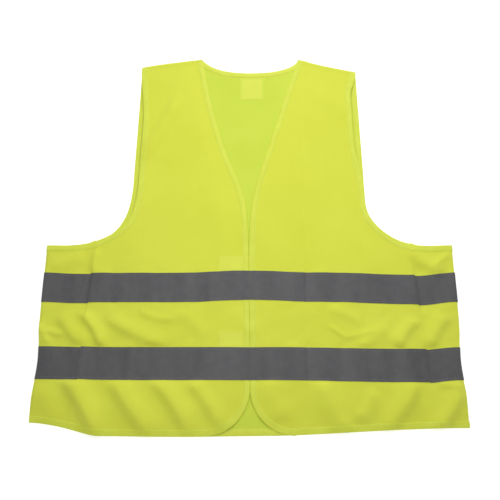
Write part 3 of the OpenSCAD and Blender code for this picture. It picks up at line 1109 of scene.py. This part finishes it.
def build_tapes():
    for name, (low, high) in TAPES.items():
        vs = np.linspace(low.y, high.y, TAPE_ROWS)
        middle = (low.y + high.y) / 2
        for side in (LEFT, RIGHT):
            columns = [abs(c) for c in PACKING_LINES if c * side > 0]
            foot = seam_x(middle, side) + SEAM_LAP
            us = graded(TAPE_EDGE, foot, TAPE_STEP, columns)
            us = side * us[(us >= TAPE_EDGE) & (us < foot - 0.5)]
            us = np.append(us, side * foot)
            label = f"{name}_{SIDE_NAME[side]}_front_band"
            piece, outline = tape_piece(label, front_point, us, vs, over_front_binding)
            bend_front(piece)
            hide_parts(f"{name}_{SIDE_NAME[side]}_side_tape", f"{name}_{SIDE_NAME[side]}_front_tape")
            stitches = tape_stitches(label, front_point, us, vs)
            bend_front(stitches)
        vs = vs - BACK_TAPE_DROP
        ends = [side * unrolled(seam_x(middle, side)) for side in (RIGHT, LEFT)]
        turns = [side * (TURN_X + TURN_LEN * t) for side in (RIGHT, LEFT) for t in np.linspace(0, 1, 10)]
        us = np.unique(np.concatenate([np.arange(ends[0], ends[1], BACK_TAPE_STEP), turns, ends]))
        piece, outline = tape_piece(f"{name}_back_band", back_point, us, vs, no_lift)
        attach(piece, "back")
        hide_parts(f"{name}_back_tape")
        stitches = tape_stitches(f"{name}_back_band", back_point, us, vs)
        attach(stitches, "back")


# -------- closure and label

PATCH_T = 0.5
LABEL_T = 0.25
PATCH_GRID = (24, 18)
STITCH_PITCH = 3.2


def flat_patch(name, surface, low, high, lift, thickness, material):
    """A small rectangle of cloth on a surface, lift millimetres out from the cloth's middle."""
    us, vs = (np.linspace(low[k], high[k], PATCH_GRID[k]) for k in (0, 1))
    u, v = (g.ravel() for g in np.meshgrid(us, vs, indexing="ij"))
    points = lifted(surface, u, v, np.full(u.shape, lift))
    piece = thick_piece(name, points, grid_tris(*PATCH_GRID), np.stack([u, v], 1), thickness, material)
    fix_normals(piece)
    return piece, corners_of(low.x, low.y, high.x, high.y)


def frame_rows(surface, low, high, lift, inset):
    """Stitches round a rectangle, inset from its edge."""
    corners = corners_of(low.x + inset, low.y + inset, high.x - inset, high.y - inset)
    ends = np.roll(corners, -1, axis=0)
    return [stitch_row(surface, np.array([a, b]), lift, STITCH_PITCH) for a, b in zip(corners, ends)]


def build_patches():
    for name in PATCHES:
        for side, box, kind, sign in ((RIGHT, PATCHES[name], "loop", 1), (LEFT, HOOKS[name], "hook", -1)):
            lift = sign * (CLOTH_T / 2 + 0.35)
            label = f"{name}_{kind}_pad"
            piece, outline = flat_patch(label, front_point, *box, lift, PATCH_T, pile_mat)
            bend_front(piece)
            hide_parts(f"{name}_{kind}_patch")
            rows = frame_rows(front_point, *box, lift + sign * 0.3, 1.8)
            stitches = stitch_piece(f"{label}_stitches", rows, lime_thread)
            bend_front(stitches)


def build_label():
    lift = -CLOTH_T / 2 - 0.22
    low, high = (corner + Vector((LABEL_SHIFT, 0, 0)) for corner in LABEL)
    piece, outline = flat_patch("size_tab", back_point, low, high, lift, LABEL_T, label_mat)
    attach(piece, "back")
    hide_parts("neck_label")
    rows = frame_rows(back_point, low, high, lift - 0.2, 2.2)
    stitches = stitch_piece("size_tab_stitches", rows, lime_thread)
    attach(stitches, "back")


build_fronts()
build_back()
build_front_bindings()
build_armhole_bindings()
build_back_bindings()
build_shoulder_seams()
build_side_seams()
build_tapes()
build_patches()
build_label()


# -------- set

FLOOR_REACH = 30.0
FLOOR_GAP = 0.0005
CAMERA_LENS = 43.8
CAMERA_AIM = Vector((0, -0.035, 0.005))
CAMERA_DISTANCE = 1.034
CAMERA_TILT = math.radians(74)
WORLD_STRENGTH = 0.4


def placed(name, data, place, aim=None):
    """A new object in the scene at place, looking at aim."""
    obj = bpy.data.objects.new(name, data)
    obj.location = place
    if aim is not None:
        obj.rotation_euler = (Vector(aim) - obj.location).to_track_quat("-Z", "Y").to_euler()
    bpy.context.scene.collection.objects.link(obj)
    return obj


def add_light(name, energy, size, place, aim):
    data = bpy.data.lights.new(name, "AREA")
    data.energy = energy
    data.shape = "SQUARE"
    data.size = size
    obj = placed(name, data, place, aim)


def build_floor():
    """White paper that lightly glows, so that it reads as a bright studio floor."""
    material = Graph("paper").made({
        "Base Color": (0.85, 0.85, 0.85, 1), "Roughness": 0.9,
        "Emission Color": (1, 1, 1, 1), "Emission Strength": 0.55})
    mesh = bpy.data.meshes.new("floor")
    corners = [(-1, -1), (1, -1), (1, 1), (-1, 1)]
    mesh.from_pydata([(FLOOR_REACH * x, FLOOR_REACH * y, 0) for x, y in corners], [], [(0, 1, 2, 3)])
    mesh.materials.append(material)
    obj = placed("floor", mesh, (0, 0, cad_low.z - FLOOR_GAP))


def build_camera():
    data = bpy.data.cameras.new("camera")
    data.lens = CAMERA_LENS
    data.sensor_width = 36
    back = Vector((0, -math.cos(CAMERA_TILT), math.sin(CAMERA_TILT)))
    place = CAMERA_AIM + CAMERA_DISTANCE * back
    bpy.context.scene.camera = placed("camera", data, place, CAMERA_AIM)


build_floor()
build_camera()
add_light("key", 6.6, 0.7, (0.15, 1.15, 0.8), (0, 0, 0))
add_light("top", 2.35, 0.5, (0.03, 0.03, 0.8), (0.03, 0.03, 0))
world = bpy.data.worlds.new("studio")
world.use_nodes = True
background = world.node_tree.nodes["Background"]
background.inputs["Color"].default_value = (1, 1, 1, 1)
background.inputs["Strength"].default_value = WORLD_STRENGTH
bpy.context.scene.world = world
bpy.context.scene.view_settings.view_transform = "Standard"
